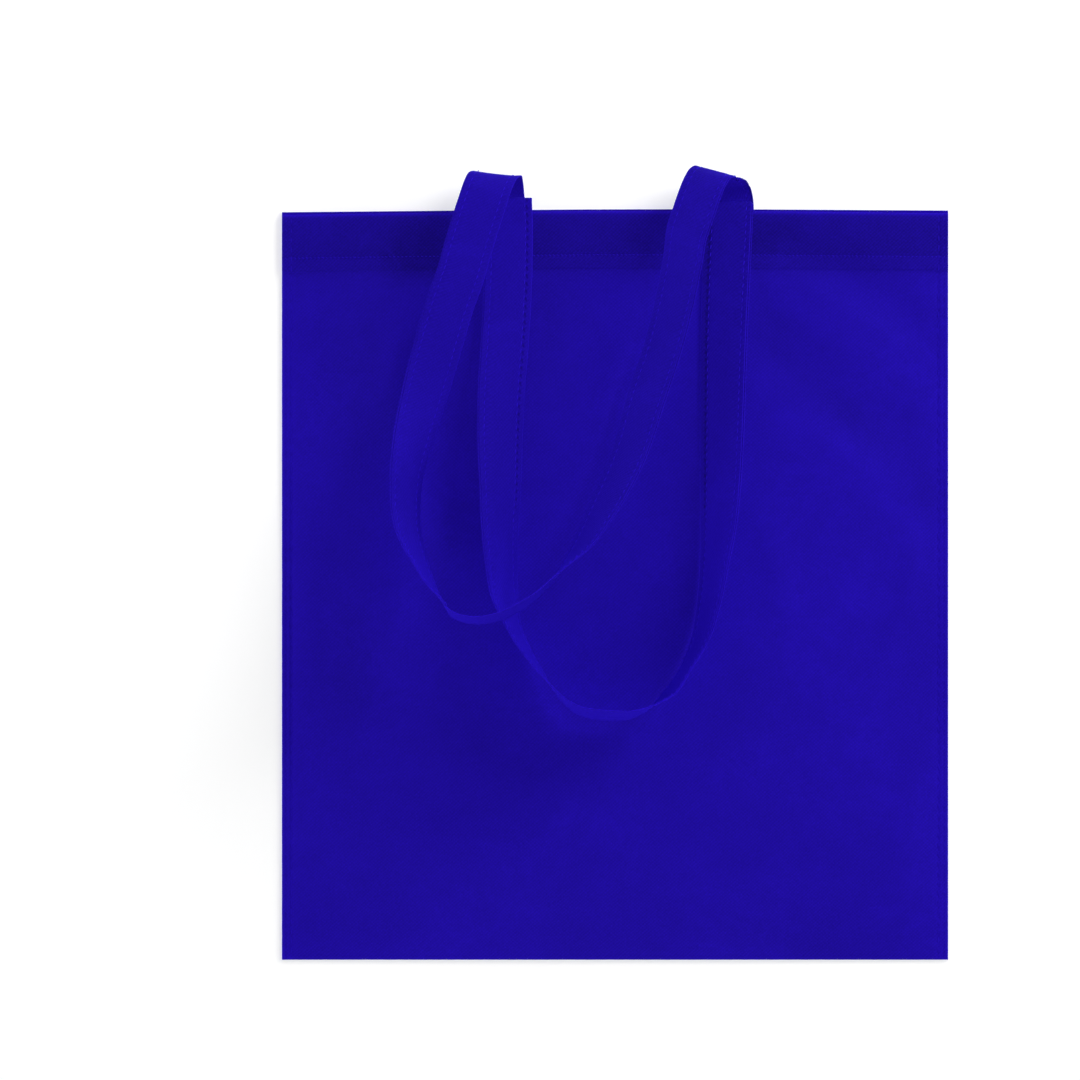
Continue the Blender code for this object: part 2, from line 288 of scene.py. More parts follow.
def makeNeedleHoles(v):
    group = bpy.data.node_groups.new("needleHoles", "ShaderNodeTree")
    groupSockets(group, (
        ("Map", "NodeSocketVector", None),
        ("Row Distance", "NodeSocketFloat", 1.0),
        ("Pitch", "NodeSocketFloat", 4.0 * mm),
        ("Half Width", "NodeSocketFloat", 0.4 * mm),
    ), (("Holes", "NodeSocketFloat"),))
    given = group.nodes.new("NodeGroupInput")
    out = group.nodes.new("NodeGroupOutput")
    split = group.nodes.new("ShaderNodeSeparateXYZ")
    group.links.new(given.outputs["Map"], split.inputs[0])
    slant = mathNode(group, "MULTIPLY_ADD", split.outputs["X"], v["slant"], split.outputs["Y"])
    along = mathNode(group, "FRACT", mathNode(group, "DIVIDE", slant, given.outputs["Pitch"]))
    fromHole = mathNode(group, "ABSOLUTE", mathNode(group, "SUBTRACT", along, 0.5))
    hole = mathNode(group, "SUBTRACT", 1.0, mapRange(group, fromHole, *v["alongEdge"]))
    across = mathNode(group, "DIVIDE", given.outputs["Row Distance"], given.outputs["Half Width"])
    row = mathNode(group, "SUBTRACT", 1.0, mapRange(group, across, *v["acrossEdge"]))
    group.links.new(mathNode(group, "MULTIPLY", hole, row), out.inputs["Holes"])
    return group


def attributeNode(tree, name):
    node = tree.nodes.new("ShaderNodeAttribute")
    node.attribute_name = name
    return node.outputs["Fac"]


def makeClothMaterial(name, cloth, holes, v):
    material = bpy.data.materials.new(name)
    material.use_nodes = True
    tree = material.node_tree
    shader = tree.nodes["Principled BSDF"]
    maps = tree.nodes.new("ShaderNodeUVMap")
    maps.uv_map = "cloth"
    woven = tree.nodes.new("ShaderNodeGroup")
    woven.node_tree = cloth
    for socket in ("Cloth Colour", "Dot Pitch", "Dot Stretch", "Dot Lean", "Dot Shade", "Cloud Shade",
                   "Wisp Light", "Layer Shade", "Edge Highlight"):
        woven.inputs[socket].default_value = v[socket]
    tree.links.new(maps.outputs[0], woven.inputs["Map"])
    for mark in ("Layers", "Edges", "Tone"):
        tree.links.new(attributeNode(tree, mark.lower()), woven.inputs[mark])
    if v["holePitch"]:
        punched = tree.nodes.new("ShaderNodeGroup")
        punched.node_tree = holes
        punched.inputs["Pitch"].default_value = v["holePitch"]
        punched.inputs["Half Width"].default_value = v["holeWidth"]
        tree.links.new(maps.outputs[0], punched.inputs["Map"])
        tree.links.new(attributeNode(tree, "row"), punched.inputs["Row Distance"])
        tree.links.new(punched.outputs["Holes"], woven.inputs["Holes"])
    bump = tree.nodes.new("ShaderNodeBump")
    bump.inputs["Strength"].default_value = 1.0
    bump.inputs["Distance"].default_value = v["bumpDepth"]
    tree.links.new(woven.outputs["Height"], bump.inputs["Height"])
    tree.links.new(woven.outputs["Colour"], shader.inputs["Base Color"])
    tree.links.new(woven.outputs["Roughness"], shader.inputs["Roughness"])
    tree.links.new(bump.outputs["Normal"], shader.inputs["Normal"])
    for socket in ("Specular IOR Level", "Sheen Weight", "Sheen Roughness", "Sheen Tint"):
        shader.inputs[socket].default_value = v[socket]
    return material


# A smooth mesh from its points, the corners of its faces one after another, and each face's count of them.
def rawMesh(name, points, corners, sizes):
    mesh = bpy.data.meshes.new(name)
    mesh.vertices.add(points.size // 3)
    mesh.vertices.foreach_set("co", points.astype(np.float32).ravel())
    mesh.loops.add(len(corners))
    mesh.loops.foreach_set("vertex_index", corners.astype(np.int32))
    mesh.polygons.add(len(sizes))
    mesh.polygons.foreach_set("loop_start", (np.cumsum(sizes) - sizes).astype(np.int32))
    mesh.polygons.foreach_set("use_smooth", np.ones(len(sizes), bool))
    mesh.update(calc_edges=True)
    mesh.validate()
    return mesh


# A sheet of quads from points[row, column], with a UV for each point. A wrapped grid is a tube, and its
# last column of quads joins back to the first, where the map runs on by one more column.
def gridMesh(name, points, maps, wrapped=False, attributes=None):
    rows, columns = points.shape[:2]
    across = columns if wrapped else columns - 1
    r, c = np.meshgrid(np.arange(rows - 1), np.arange(across), indexing="ij")
    nextColumn = (c + 1) % columns
    quads = np.stack([r * columns + c, r * columns + nextColumn, (r + 1) * columns + nextColumn,
                      (r + 1) * columns + c], axis=-1).reshape(-1, 4)
    mesh = rawMesh(name, points, quads.ravel(), np.full(len(quads), 4))
    corners = np.stack([maps[r, c], maps[r, c + 1], maps[r + 1, c + 1], maps[r + 1, c]], axis=-2)
    layer = mesh.uv_layers.new(name="cloth")
    layer.uv.foreach_set("vector", corners.astype(np.float32).ravel())
    for key, values in (attributes or {}).items():
        made = mesh.attributes.new(key, "FLOAT", "POINT")
        made.data.foreach_set("value", values.astype(np.float32).ravel())
    return mesh


def addObject(name, mesh, material):
    mesh.materials.append(material)
    made = bpy.data.objects.new(name, mesh)
    bpy.context.scene.collection.objects.link(made)
    return made


def smoothStep(t):
    t = np.clip(t, 0.0, 1.0)
    return t * t * (3.0 - 2.0 * t)


bag = {
    "width": 360 * mm,
    "height": 405 * mm,
    "cloth": 0.5 * mm,          # room that one ply takes
    "thick": 0.44 * mm,         # and how thick it is
    "seam": 6 * mm,             # how far in from the sides the panels part
    "belly": 12 * mm,           # how far the panels part in the middle
    "mouthGape": 11 * mm,
    "foldRise": 70 * mm,        # above the bottom fold, where the belly is reached
    "mouthBlend": 120 * mm,     # below the mouth, where it starts to ease into the gape
    "hem": 32.1 * mm,           # from the mouth to the raw edge
    "hemStitch": 24.8 * mm,     # below the mouth
    "frontShort": 1.5 * mm,     # how far the front's edge stays below the back's
    "archPower": 3.0,
    "foldPower": 0.8,
    "hemSwell": 0.35 * mm,      # how far the hem's two plies lift the front,
    "seamStack": 0.9 * mm,      # and at the sides, where the seam holds them all
    "stackPower": 12,           # how close to the sides that is
    "hemStep": 1.6 * mm,        # how wide the step at the raw edge is
    "leftDip": 1.3 * mm,        # how far the mouth's corners hang down
    "rightDip": 0.4 * mm,
    "leftFrom": 0.1,            # and from what share of the half width
    "rightFrom": 0.3,
    "leftPower": 1.3,
    "middleRise": 0.5 * mm,     # how far the mouth stands up between them
    "riseAt": 40 * mm,
    "riseWidth": 110 * mm,
    "shiftFrom": 60 * mm,       # all of which eases in above this y
    "seamRows": (5.1 * mm, 2.3 * mm),   # the two rows of each side seam, in from the edge
    "seamPitch": 5.2 * mm,
    "groove": 0.22 * mm,        # how far a row of stitches pulls the cloth down,
    "hemGroove": 0.8 * mm,      # and how far from the row it does so, in the hem
    "seamGroove": 0.7 * mm,     # and in the side seams
    "pucker": 0.14 * mm,        # height of the small waves beside the side seams
    "puckerReach": 4 * mm,
    "foldsFade": (26 * mm, 40 * mm, 24 * mm),   # soft folds end before the sides, the bottom and the mouth
    "foldIn": 0.35 * mm,        # what the bottom fold takes off the height
}

# Soft folds that the front panel keeps: middle x and y, direction in degrees, half length, half width and
# height, all but the direction in millimetres.
frontFolds = np.array([
    (114, 111, -39, 64, 15, -2.6),
    (117, 60, -36, 46, 15, 0.8),
    (157, 146, -33, 87, 15, -3),
    (136, 141, -31, 44, 4, 0.5),
    (125, 70, -36, 50, 7, 0.6),
    (84, 134, -35, 20, 8, 0.9),
    (38, 77, -50, 13, 2.6, 0.6),
    (-7, 100, -82, 24, 3.2, 0.4),
    (-24, 111, 77, 80, 18, 2),
    (-104, 72, -70, 73, 16, 2.4),
    (-160, -32, 78, 56, 14, -0.5),
    (-152, 150, 74, 60, 15, -1.6),
    (-60, 148, 8, 85, 10, -0.8),
    (-106, -20, 50, 26, 10, 1),
    (72, 40, -20, 9, 3, 0.4),
    (87, 6, -75, 30, 8, 0.8),
    (151, -27, 62, 26, 6, 0.9),
    (163, 10, -74, 27, 12, 1.8),
    (161, -150, 78, 70, 15, 1.8),
    (100, -130, -68, 26, 3, 0.35),
    (132, -160, -30, 22, 9, -0.6),
    (112, -74, 35, 40, 5, 0.5),
    (-168, -182, -28, 18, 4, 0.6),
    (-164, -132, 10, 16, 7, 0.6),
    (-70, -150, -15, 60, 16, 0.9),
    (20, -150, 24, 60, 14, 0.8),
])

# Soft spots that darken or lighten the front panel: most are painted shade and painted light, the handles'
# shadows and the shading of folds, and a few are where the cloth lies thicker. Middle x and y, half length
# and half width in millimetres, direction in degrees and amount.
paintedShadeAndClothTones = np.array([
    (82, 184, 20, 17, 0, -0.13),
    (-108, 183, 25, 20, 0, -0.15),
    (-100, 171, 22, 9, 0, -0.12),
    (-44, 186, 12, 14, 0, -0.06),
    (30, 184, 26, 16, 0, -0.06),
    (8, 176, 20, 14, 0, -0.06),
    (134, 186, 44, 16, 0, -0.04),
    (88, 139, 15, 11, -30, -0.08),
    (116, 104, 44, 7, -36, -0.06),
    (127, 90, 20, 8, -36, -0.1),
    (166, 48, 10, 10, 0, -0.07),
    (152, 104, 24, 9, -35, -0.05),
    (93, 87, 13, 8, -36, 0.13),
    (80, 107, 8, 12, 0, 0.08),
    (103, 145, 12, 8, -30, 0.08),
    (152, 41, 26, 6, -38, 0.1),
    (-37, 147, 9, 22, 0, -0.1),
    (128, 69, 48, 6, -36, 0.05),
    (-12, 112, 26, 42, -12, 0.03),
    (0, 147, 13, 18, -10, 0.07),
    (-30, 62, 13, 30, 0, 0.05),
    (110, 0, 34, 60, -10, 0.02),
    (116, -190, 60, 15, 0, -0.07),
    (-140, 120, 22, 42, -12, -0.13),
    (-115, 138, 7, 26, -12, 0.13),
    (-119, 86, 9, 18, 0, -0.12),
    (-75, 125, 5, 34, -8, 0.1),
    (-172, -10, 10, 50, 0, 0.07),
    (-152, 62, 14, 20, 0, 0.05),
    (-143, -44, 20, 26, 0, -0.08),
    (-96, -24, 16, 20, 20, 0.06),
    (-64, -44, 14, 12, 0, 0.07),
    (-64, -108, 26, 18, 0, 0.04),
    (-17, -47, 22, 16, 0, -0.07),
    (-90, 22, 9, 17, 20, -0.13),
    (-84, 64, 7, 12, 0, 0.12),
])

mouthY = bag["height"] / 2
foldY = -bag["height"] / 2 + bag["foldIn"]
halfHollow = bag["width"] / 2 - bag["seam"]


# Height between the panels: belly * (1 - |x / half|^arch) * sin(rise * pi / 2)^fold, where the rise goes
# from 0 at the bottom fold to 1, and the belly eases into the mouth's gape.
def hollowHeight(x, y):
    out = np.clip(np.abs(x) / halfHollow, 0.0, 1.0)
    up = np.clip((y - foldY) / bag["foldRise"], 0.0, 1.0)
    near = smoothStep(1.0 - (mouthY - y) / bag["mouthBlend"])
    height = bag["belly"] + (bag["mouthGape"] - bag["belly"]) * near
    return height * (1.0 - out**bag["archPower"]) * np.sin(up * math.pi / 2) ** bag["foldPower"]


# Places along and across a direction, from a middle and in shares of a length and a width.
def turned(x, y, middleX, middleY, turn, length, width):
    way = math.radians(turn)
    dx, dy = x - middleX * mm, y - middleY * mm
    return ((dx * math.cos(way) + dy * math.sin(way)) / (length * mm),
            (dy * math.cos(way) - dx * math.sin(way)) / (width * mm))


# Sum of ridges, each h * exp(-(across / width)^2) * exp(-(along / length)^4), faded out at the edges.
def foldWaves(x, y):
    total = np.zeros(np.broadcast(x, y).shape)
    for middleX, middleY, turn, length, width, height in frontFolds:
        along, across = turned(x, y, middleX, middleY, turn, length, width)
        total = total + height * mm * np.exp(-across**2 - along**4)
    side, bottom, mouth = bag["foldsFade"]
    sides = smoothStep((bag["width"] / 2 - np.abs(x)) / side)
    ends = smoothStep((y - foldY) / bottom) * smoothStep((mouthY - y) / mouth)
    return total * sides * ends


# Painted shade and light, with some thicker cloth: a sum of soft spots, each amount * exp(-(across /
# width)^2 - (along / length)^2).
def paintedShadeAndClothTone(x, y):
    total = np.zeros(np.broadcast(x, y).shape)
    for middleX, middleY, length, width, turn, amount in paintedShadeAndClothTones:
        along, across = turned(x, y, middleX, middleY, turn, length, width)
        total = total + amount * np.exp(-along**2 - across**2)
    return total


# Paler along the side seams, painted light just below the mouth's fold, and painted shade just below the
# hem's raw edge.
edgeLightAndShadeTones = {
    "sides": 0.11,
    "sidesReach": 6.5 * mm,
    "sidesLess": 0.07,          # taken off that in the hem
    # painted light just below the mouth's fold
    "mouth": 0.14,
    "mouthReach": 1.6 * mm,
    # painted shade
    "rawEdgeShade": -0.11,           # just below the hem's raw edge
    "rawEdgeReach": 2.6 * mm,
}


# Sum of sides * exp(-(edge / reach)^4), painted light mouth * exp(-drop / reach) and painted shade
# rawEdgeShade * exp(-below / reach), where edge, drop and below are the distances from the side, the mouth
# and the raw edge.
def edgeLightAndShadeTone(x, y, v=edgeLightAndShadeTones):
    edge = bag["width"] / 2 - np.abs(x)
    drop = np.maximum(mouthY - bag["frontShort"] - y, 0.0)
    below = mouthY - bag["hem"] - y
    sides = (v["sides"] - v["sidesLess"] * (below < 0)) * np.exp(-((edge / v["sidesReach"]) ** 4))
    mouth = v["mouth"] * np.exp(-drop / v["mouthReach"])
    rawEdgeShade = v["rawEdgeShade"] * np.exp(-np.maximum(below, 0.0) / v["rawEdgeReach"]) * (below > 0)
    return sides + mouth + rawEdgeShade


# Relief of the sewing: each side seam row and the hem row pull a groove, depth * exp(-(distance / width)^2),
# and small waves, pucker * sin(2 pi y / pitch) * exp(-distance / reach), run in from the inner seam row.
def sewnRelief(x, y):
    edge = bag["width"] / 2 - np.abs(x)
    total = -bag["groove"] * np.exp(-((y - (mouthY - bag["hemStitch"])) / bag["hemGroove"]) ** 2)
    for row in bag["seamRows"]:
        total = total - bag["groove"] * np.exp(-((edge - row) / bag["seamGroove"]) ** 2)
    near = np.exp(-np.abs(edge - bag["seamRows"][0]) / bag["puckerReach"])
    return total + bag["pucker"] * np.sin(2 * math.pi * y / bag["seamPitch"]) * near


# Height of the front panel's outer face: two plies, the hollow, the soft folds, the sewing's relief, and the
# hem's extra plies, which show in the side seams most.
def frontTop(x, y):
    y = np.minimum(y, mouthY)
    out = np.clip(np.abs(x) / halfHollow, 0.0, 1.0)
    hem = smoothStep((y - (mouthY - bag["hem"])) / bag["hemStep"] + 0.5)
    stack = bag["hemSwell"] + (bag["seamStack"] - bag["hemSwell"]) * out ** bag["stackPower"]
    return 2 * bag["cloth"] + hollowHeight(x, y) + foldWaves(x, y) + sewnRelief(x, y) + hem * stack


# How far the mouth's edge stands up, rise * exp(-((x - at) / width)^2), less how far it dips towards each
# corner, dip * (share - from)^power, where the share is x against the half width. It eases off down the bag.
def mouthShift(x, y):
    out = x / (bag["width"] / 2)
    left = bag["leftDip"] * np.clip(-out - bag["leftFrom"], 0.0, 1.0) ** bag["leftPower"]
    right = bag["rightDip"] * np.clip(out - bag["rightFrom"], 0.0, 1.0)
    middle = bag["middleRise"] * np.exp(-((x - bag["riseAt"]) / bag["riseWidth"]) ** 2)
    return (middle - left - right) * smoothStep((y - bag["shiftFrom"]) / (mouthY - bag["shiftFrom"]))


def bagColumns():
    half = bag["width"] / 2
    inner = np.linspace(0.0, half - 9 * mm, 66)
    seam = half - np.array([7.6, 6.6, 6.0, 5.5, 5.1, 4.7, 4.2, 3.4, 2.8, 2.3, 1.8, 1.1, 0.4, 0.0]) * mm
    right = np.concatenate([inner, seam])
    return np.concatenate([-right[:0:-1], right])


# The cut sheet as one grid: front hem, mouth fold, front panel, bottom fold, back panel, mouth fold and
# back hem, followed along the cloth. Each fold is a half circle between the two plies' middle layers.
def bagSheet():
    x = bagColumns()[None, :]
    ply, hem = bag["cloth"], bag["hem"]
    angles = np.linspace(-90.0, 90.0, 7)[1:-1, None] * math.pi / 180

    def layer(y, height):
        y = y[:, None]
        return np.stack(np.broadcast_arrays(x, y + mouthShift(x, y), height), axis=-1)

    def front(y, depth):
        return layer(y, frontTop(x, y[:, None]) - depth)

    frontEdge = mouthY - bag["frontShort"] - ply / 2
    hemRows = np.concatenate([np.linspace(mouthY - hem, mouthY - bag["hemStitch"] - 2 * mm, 5)[:-1],
                              np.linspace(mouthY - bag["hemStitch"] - 2 * mm, frontEdge, 14)])
    hemPart = front(hemRows, 1.5 * ply)
    topFold = front(np.full(5, frontEdge), ply)
    topFold[..., 1] += ply / 2 * np.cos(angles)
    topFold[..., 2] += ply / 2 * np.sin(angles)
    panelRows = np.concatenate([
        frontEdge - np.array([0.0, 0.35, 0.8, 1.6]) * mm,
        np.linspace(frontEdge - 3 * mm, mouthY - bag["hemStitch"] + 2.4 * mm, 9),
        mouthY - bag["hemStitch"] + np.array([1.4, 0.7, 0.3, 0.0, -0.3, -0.7, -1.4, -2.4, -3.6]) * mm,
        mouthY - hem + np.array([1.4, 0.8, 0.4, 0.0, -0.4, -0.8, -1.6]) * mm,
        foldY + ply / 2 + (mouthY - hem - 3 * mm - foldY - ply / 2) * np.linspace(1.0, 0.0, 132) ** 1.12,
    ])
    panel = front(panelRows, ply / 2)
    bottomFold = front(np.full(5, foldY + ply / 2), ply)
    bottomFold[..., 1] -= ply / 2 * np.cos(angles)
    bottomFold[..., 2] -= ply / 2 * np.sin(angles)
    backEdge = mouthY - ply / 2
    backRows = np.linspace(foldY + ply / 2, backEdge, 70)
    backPart = layer(backRows, ply / 2)
    backFold = layer(np.full(5, backEdge), ply)
    backFold[..., 1] += ply / 2 * np.cos(angles)
    backFold[..., 2] += ply / 2 * np.sin(angles)
    backHem = layer(np.linspace(backEdge, mouthY - hem, 12), 1.5 * ply)
    points = np.concatenate([hemPart, topFold, panel, bottomFold, backPart, backFold, backHem])

    middle = points[:, points.shape[1] // 2]
    length = np.concatenate([[0.0], np.cumsum(np.linalg.norm(np.diff(middle, axis=0), axis=1))])
    maps = np.stack(np.broadcast_arrays(x, length[:, None]), axis=-1)
    flatY = points[..., 1] - mouthShift(x, points[..., 1])
    edge = bag["width"] / 2 - np.abs(points[..., 0])
    fold = np.abs(np.arange(len(points)) - len(hemPart) - len(topFold) / 2)[:, None]
    marks = {
        "layers": (0.72 * smoothStep((flatY - (mouthY - hem)) / (0.6 * mm) + 0.5)
                   + 0.28 * smoothStep((flatY - (mouthY - bag["hemStitch"])) / (0.9 * mm) + 0.5)),
        # edges: a painted highlight along the side edges and along the mouth's fold
        "edges": np.maximum(np.exp(-edge / (0.4 * mm)) * 0.6, smoothStep(2.2 - fold / 2.6)),
        "row": np.minimum(*(np.abs(edge - row) for row in bag["seamRows"])),
        # tone: painted shade and light, with some thicker cloth, on the outer face
        "tone": ((paintedShadeAndClothTone(points[..., 0], flatY) + edgeLightAndShadeTone(points[..., 0], flatY))
                 * (points[..., 2] > 1.2 * ply)),
    }
    return points, maps, marks, float(length[-1])


def makeBag(material):
    points, maps, marks, length = bagSheet()
    mesh = gridMesh("bag_cloth", points, maps, attributes=marks)
    piece = addObject("bag_cloth", mesh, material)
    wall = piece.modifiers.new("ply", "SOLIDIFY")
    wall.thickness = bag["thick"]
    wall.offset = 0.0
    print("bag cloth:", len(mesh.vertices), "points,", round(length, 4), "m of cloth")
    return piece, length


strap = {
    "width": 26 * mm,
    "thick": 1.0 * mm,
    "clear": 0.15 * mm,
    "step": 0.83 * mm,          # a fifth of the stitch pitch
    "edgeRow": 3.7 * mm,        # how far the stitch rows stand in from the edges
    "stitchPitch": 4.15 * mm,
    "stitchLength": 3.1 * mm,
    "stitchSlant": 0.16,
    "innerRowOff": 0.4 * mm,    # how much further in the inner row's thread lies
    "threadProud": {1: 0.1 * mm, -1: -0.12 * mm},   # on the upper face and on the lower one
    "edgeHalf": 0.38 * mm,      # half the thickness of the folded edges,
    "middleHalf": 0.12 * mm,    # what the loose middle adds,
    "rowPull": 0.11 * mm,       # what a stitch row takes off,
    "holePull": 0.03 * mm,      # and a needle hole besides
    "rowWidth": 0.8 * mm,
    "routeUnit": 1 * mm,
}
lift = strap["clear"] + strap["thick"] / 2

# Stops along each handle's inner edge: place across, drop below the mouth, rise above the front panel in
# strap widths, and the turn and lean of the strap in degrees.
backHandle = {
    "drop": 223 * mm,
    "onBack": True,
    "hideHoles": 1.0,
    "holesReach": 0.0,
    "marginShade": 0.0,
    "marginReach": 0.0,
    # leftRim scales the outer edge's painted highlight; below 0 it paints a dark shadow line there
    "leftRim": -0.3,            # how light the outer edge is on the left, against 1 further on
    "rimStart": 0.32,           # and the share of the length where that changes
    # painted shade and painted light at places along the handle
    "paintedShading": ((48, 26, -0.05), (215, 35, 0.07), (620, 30, -0.13), (520, 90, -0.08)),
    "route": (
        (-61.7, 8.3, 0.52, 161, 0), (-66.9, 25.3, 0.46, 163, 0), (-70.8, 39.1, 0.38, 162, 0),
        (-76.6, 55.2, 0.29, 162, 2), (-83.8, 79.7, 0.15, 164, 5), (-91.0, 104.0, 0.06, 164, 18),
        (-98.2, 126.0, 0.01, 163, 33), (-103.2, 143.4, 0.00, 170, 46), (-104.7, 171.6, 0.15, 183, 58),
        (-99.8, 192.6, 0.42, 200, 72), (-93.0, 210.1, 0.72, 212, 85), (-87.7, 219.2, 0.84, 226, 97),
        (-82.0, 221.8, 0.90, 250, 99), (-74.0, 222.9, 0.97, 267, 100), (-61.2, 220.6, 1.02, 292, 100),
        (-51.3, 216.0, 1.00, 300, 100), (-43.8, 210.8, 0.94, 314, 97), (-34.6, 200.7, 0.80, 325, 90),
        (-24.9, 183.4, 0.61, 333, 70), (-14.6, 160.2, 0.43, 337, 55), (-1.9, 129.4, 0.27, 341, 44),
        (7.0, 97.0, 0.20, 343, 37), (15.2, 73.0, 0.19, 344, 38), (21.5, 47.8, 0.24, 348, 37),
        (25.8, 24.9, 0.33, 350, 36), (28.0, 8.0, 0.43, 348, 32),
    ),
    "turns": (
        {"places": (-48.4, -50.4, -58.7), "turns": (182, 184, 164), "leans": (-8, -3),
         "straight": 1.0, "bulge": 17.1, "rise": 0.54},
        {"places": (49.0, 43.0, 31.0), "turns": (350, 341, 340), "leans": (35, 30),
         "straight": 1.0, "bulge": 22.5, "rise": 0.50},
    ),
}
frontHandle = {
    "drop": 275 * mm,
    "onBack": False,
    "hideHoles": 0.0,           # the needle holes show along its inner row only
    "holesReach": 195 * mm,     # and only where it lies straight, this far from its ends
    # the margin's darkening is painted shade
    "marginShade": 0.3,         # how dark the margin beyond that row is on the right,
    "marginReach": 240 * mm,    # as far as this from the end
    "leftRim": 0.3,
    "rimStart": 0.34,
    # painted shade and painted light at places along the handle
    "paintedShading": ((250, 26, 0.14), (380, 30, 0.26), (625, 50, -0.17), (450, 50, 0.16)),
    "route": (
        (-44.4, 9.0, 0.00, 180, 2), (-44.6, 30.0, 0.00, 180, 3), (-46.3, 68.3, 0.00, 179, 5),
        (-48.5, 97.0, 0.00, 178, 12), (-49.8, 122.4, 0.00, 178, 20), (-50.6, 148.9, 0.00, 178, 30),
        (-52.1, 171.6, 0.00, 179, 40), (-52.6, 190.5, 0.00, 181, 48), (-52.3, 207.8, 0.00, 185, 56),
        (-50.6, 224.5, 0.00, 200, 72), (-45.9, 236.4, 0.04, 206, 78), (-39.5, 248.3, 0.10, 210, 84),
        (-33.3, 259.1, 0.15, 218, 91), (-27.6, 266.6, 0.18, 224, 96), (-20.6, 272.3, 0.20, 243, 101),
        (-12.4, 274.8, 0.20, 259, 103), (-1.6, 275.7, 0.20, 270, 103), (9.2, 274.6, 0.19, 284, 100),
        (16.8, 270.6, 0.17, 302, 94), (26.5, 259.6, 0.13, 320, 79), (33.5, 250.0, 0.09, 328, 79),
        (37.8, 240.7, 0.05, 338, 75), (41.1, 231.0, 0.02, 346, 70), (44.3, 212.1, 0.00, 353, 63),
        (45.9, 190.5, 0.00, 358, 55), (46.0, 172.0, 0.00, 359, 44), (45.9, 147.0, 0.00, 359, 34),
        (45.9, 118.6, 0.00, 360, 27), (46.0, 75.0, 0.00, 360, 18), (46.9, 35.0, 0.00, 360, 9),
        (47.9, 9.0, 0.00, 360, 3),
    ),
    "turns": (
        {"places": (-44.8, -44.8, -44.8), "turns": (180, 180, 180), "leans": (0, 0),
         "straight": 4.5, "bulge": 1.6, "rise": 0.00},
        {"places": (48.3, 48.3, 48.3), "turns": (360, 360, 360), "leans": (0, 0),
         "straight": 2.4, "bulge": 1.6, "rise": 0.00},
    ),
}


# Height and lean of a strap's middle layer inside the bag: on the back hem, or under the front one.
def sewnLevel(v, x, y, side):
    if v["onBack"]:
        return 2 * bag["cloth"] + lift, 0.0
    outer = x + side * strap["width"]
    near, far = float(hollowHeight(x, y)), float(hollowHeight(outer, y))
    return near - lift, math.degrees(math.atan2(far - near, strap["width"]))


# Sewn end, then half an ellipse over the mouth: y = mouth + straight + bulge * cos(angle), and the
# height runs with sin(angle) from inside the bag to where the strap comes out.
def turnStops(v, turn, side):
    unit = strap["routeUnit"]
    xIn, xCrest, xOut = (unit * place for place in turn["places"])
    turnIn, turnCrest, turnOut = turn["turns"]
    leanCrest, leanOut = turn["leans"]
    stops = []
    for y in np.linspace(mouthY - 28 * mm, mouthY - 2 * mm, 3):
        z, lean = sewnLevel(v, xIn, y, side)
        stops.append((xIn, y, z, turnIn, lean))
    zIn, leanIn = sewnLevel(v, xIn, mouthY, side)
    zOut = float(frontTop(xOut, mouthY)) + lift + turn["rise"] * strap["width"]
    for share in np.linspace(0.0, 1.0, 9):
        angle = math.pi * (share - 0.5)
        before, after = max(1 - 2 * share, 0.0), max(2 * share - 1, 0.0)
        crest = 1 - before - after
        stops.append((
            xIn * before + xCrest * crest + xOut * after,
            mouthY + unit * (turn["straight"] + turn["bulge"] * math.cos(angle)),
            (zIn + zOut) / 2 + (zOut - zIn) / 2 * math.sin(angle),
            turnIn * before + turnCrest * crest + turnOut * after,
            leanIn * before + leanCrest * crest + leanOut * after,
        ))
    return stops


# Height at which a strap rests on the panel without cutting into it: the highest need of five places across
# its width, each the panel's height there less what the strap's lean lifts it.
def restHeight(x, y, turn, lean):
    turn, lean = np.radians(turn), np.radians(lean)
    needs = []
    for a in np.linspace(0.0, 1.0, 5) * strap["width"]:
        px, py = x + a * np.cos(lean) * np.cos(turn), y + a * np.cos(lean) * np.sin(turn)
        needs.append(frontTop(px, py) - a * np.sin(lean))
    return np.max(needs, axis=0)


def handleStops(v):
    route = np.array(v["route"])
    left, right = v["turns"]
    x = route[:, 0] * strap["routeUnit"]
    y = mouthY - v["drop"] * route[:, 1] / route[:, 1].max()
    z = restHeight(x, y, route[:, 3], route[:, 4]) + lift + route[:, 2] * strap["width"]
    middle = np.column_stack([x, y, z, route[:, 3], route[:, 4]])
    return np.concatenate([turnStops(v, left, -1), middle, turnStops(v, right, 1)[::-1]])


# A cubic through the stops, with each stop's slope from its neighbours, sampled a step apart.
def smoothRoute(stops, step):
    length = np.concatenate([[0.0], np.cumsum(np.linalg.norm(np.diff(stops[:, :3], axis=0), axis=1))])
    slope = np.gradient(stops, length, axis=0)
    at = np.linspace(0.0, length[-1], round(length[-1] / step) + 1)
    i = np.clip(np.searchsorted(length, at, side="right") - 1, 0, len(stops) - 2)
    span = (length[i + 1] - length[i])[:, None]
    t = ((at - length[i])[:, None]) / span
    a, b, c, d = stops[i], span * slope[i], stops[i + 1], span * slope[i + 1]
    rows = ((2 * t**3 - 3 * t**2 + 1) * a + (t**3 - 2 * t**2 + t) * b
            + (3 * t**2 - 2 * t**3) * c + (t**3 - t**2) * d)
    ways = ((6 * t**2 - 6 * t) * a + (3 * t**2 - 4 * t + 1) * b
            + (6 * t - 6 * t**2) * c + (3 * t**2 - 2 * t) * d)
    return rows, ways[:, :3]


